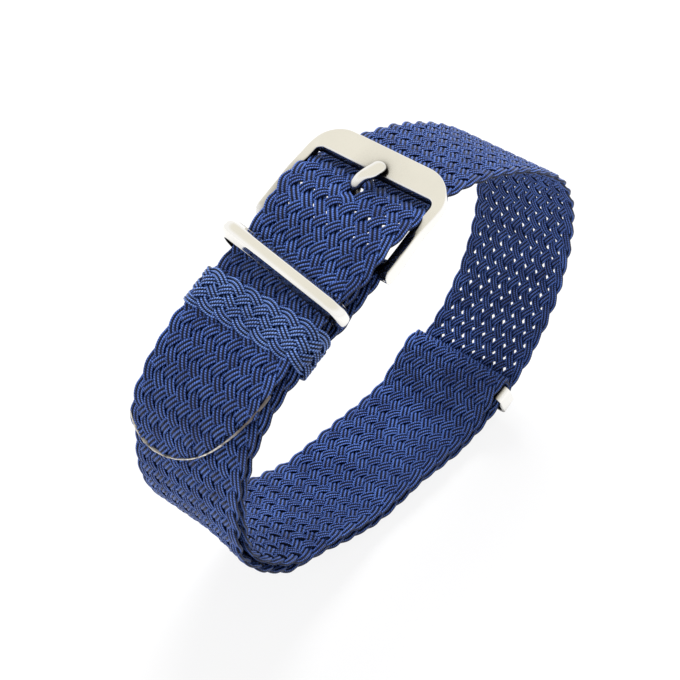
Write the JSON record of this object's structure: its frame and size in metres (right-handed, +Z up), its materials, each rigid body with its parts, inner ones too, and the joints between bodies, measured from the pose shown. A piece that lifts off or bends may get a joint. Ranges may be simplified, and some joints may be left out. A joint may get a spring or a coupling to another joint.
{
  "type": "woven nylon watch strap",
  "caption": "One-piece braided nylon watch strap closed into a loop, with a pin buckle, a braided keeper, a metal ring keeper and a metal end ring.",
  "frame": {"origin": "bottom centre of the strap's box: the loop stands on its outer face at Z 0", "axes": "X along the loop with the left bend at -X, Y across the strap, Z up"},
  "size_m": [0.0854, 0.0252, 0.0655],
  "materials": {
    "woven_nylon": "woven",
    "braided_nylon": "braided",
    "melted_nylon": "melted",
    "thread": "matte",
    "polished_steel": "polished",
    "spring_steel": "satin"
  },
  "bodies": {
    "strap": {"main_band": "woven_nylon", "tail_end_seal": "melted_nylon", "retaining_band": "woven_nylon", "braided_keeper": "braided_nylon", "seam_fold": "thread", "seam_keeper": "thread", "seam_end_ring": "thread", "spring_bar_tube": "polished_steel", "spring_bar_spring": "spring_steel"},
    "pin_left": {"spring_bar_pin_left": "polished_steel"},
    "pin_right": {"spring_bar_pin_right": "polished_steel"},
    "buckle": {"buckle_frame": "polished_steel"},
    "tongue": {"buckle_tongue": "polished_steel"},
    "keeper_ring": {"ring_keeper": "polished_steel"},
    "loop_ring": {"end_ring": "polished_steel"}
  },
  "joints": [
    {"name": "buckle_turn", "type": "hinge", "parent": "strap", "child": "buckle", "pos_m": [-0.01047, 0, 0.05644], "axis": [0, -1, 0], "range_deg": [0, 6]},
    {"name": "tongue_turn", "type": "hinge", "parent": "buckle", "child": "tongue", "pos_m": [-0.01047, 0, 0.05644], "axis": [0, -1, 0], "range_deg": [0, 10]},
    {"name": "ring_keeper_tip", "type": "hinge", "parent": "strap", "child": "keeper_ring", "pos_m": [-0.01662, 0, 0.05331], "axis": [0, 1, 0], "range_deg": [-5, 5]},
    {"name": "end_ring_tip", "type": "hinge", "parent": "strap", "child": "loop_ring", "pos_m": [0.02417, 0, 0.00668], "axis": [0, 1, 0], "range_deg": [-5, 5]},
    {"name": "pin_left_slide", "type": "slide", "parent": "strap", "child": "pin_left", "axis": [0, -1, 0], "range_m": [0, 0.0009], "stiffness_N_per_m": 400, "springref_m": -0.0015, "deforming": ["spring_bar_spring"]},
    {"name": "pin_right_slide", "type": "slide", "parent": "strap", "child": "pin_right", "axis": [0, 1, 0], "range_m": [0, 0.0009], "stiffness_N_per_m": 400, "springref_m": -0.0015}
  ]
}
